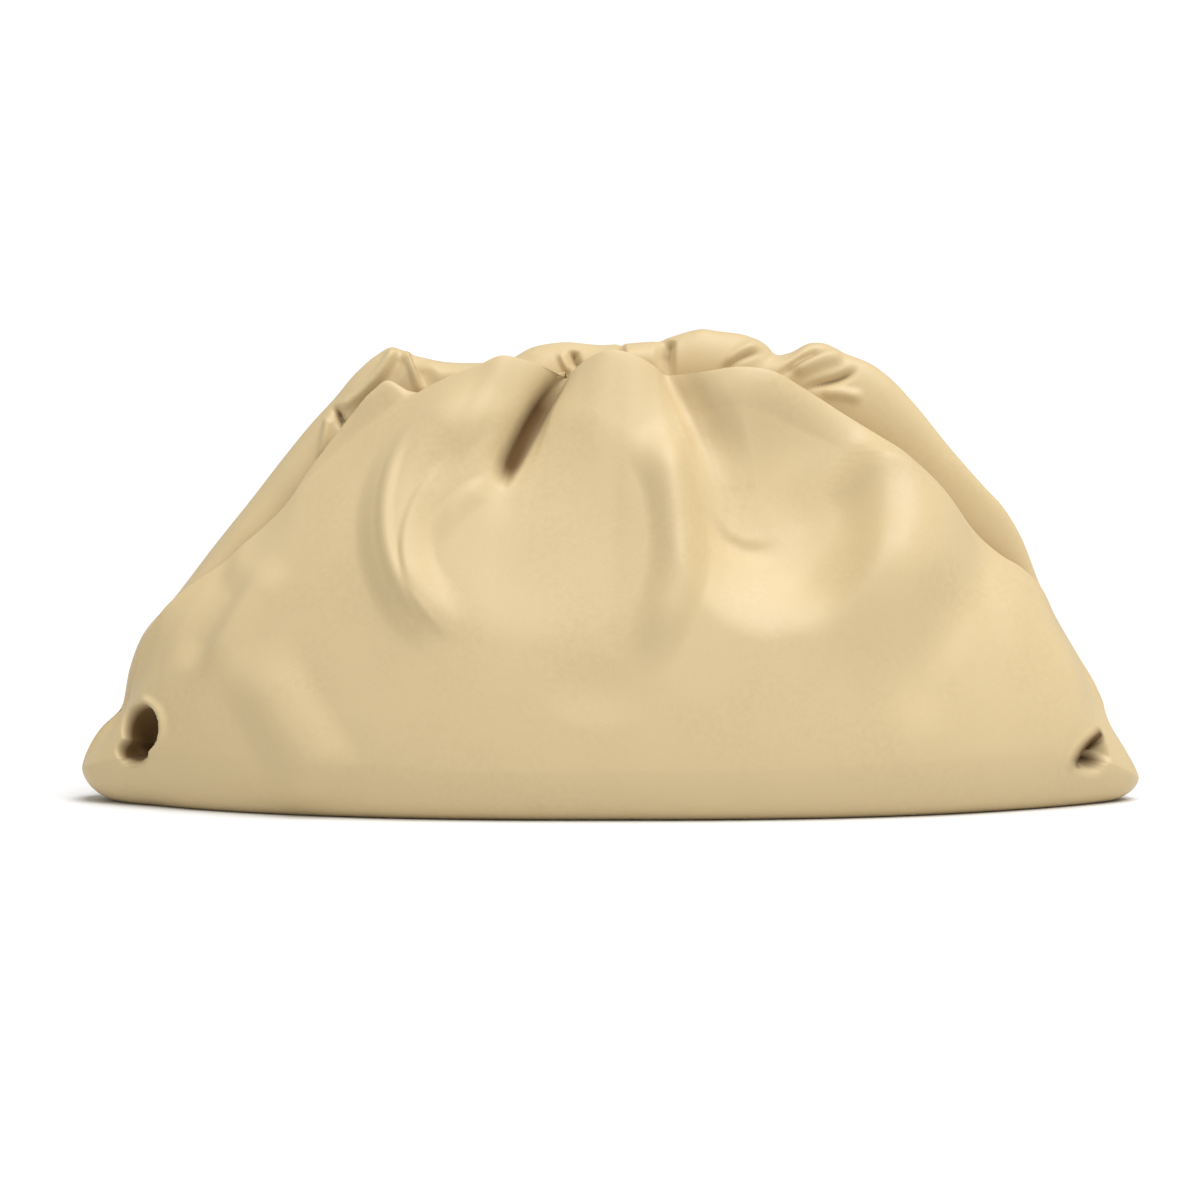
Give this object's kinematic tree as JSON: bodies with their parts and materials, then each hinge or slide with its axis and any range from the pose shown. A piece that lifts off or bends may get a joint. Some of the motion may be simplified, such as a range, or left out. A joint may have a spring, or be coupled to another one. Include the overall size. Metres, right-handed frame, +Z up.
{
  "type": "cloud pouch bag",
  "caption": "Soft leather pouch clutch with a gathered, arched mouth, full dumpling-shaped sides and tucked, ear-like lower corners.",
  "frame": {"origin": "centre of the bag's bounding box in plan, on the surface that the bag stands on", "axes": "+X along the bag towards its right-hand corner as seen from the front, +Y from the front panel to the back panel, +Z up"},
  "size_m": [0.38, 0.149, 0.1681],
  "materials": {
    "leather": "smooth, soft satin",
    "frame_steel": "plain"
  },
  "bodies": {
    "root": {"front_panel": "leather", "back_panel": "leather", "closure_frame": "frame_steel"}
  },
  "joints": []
}
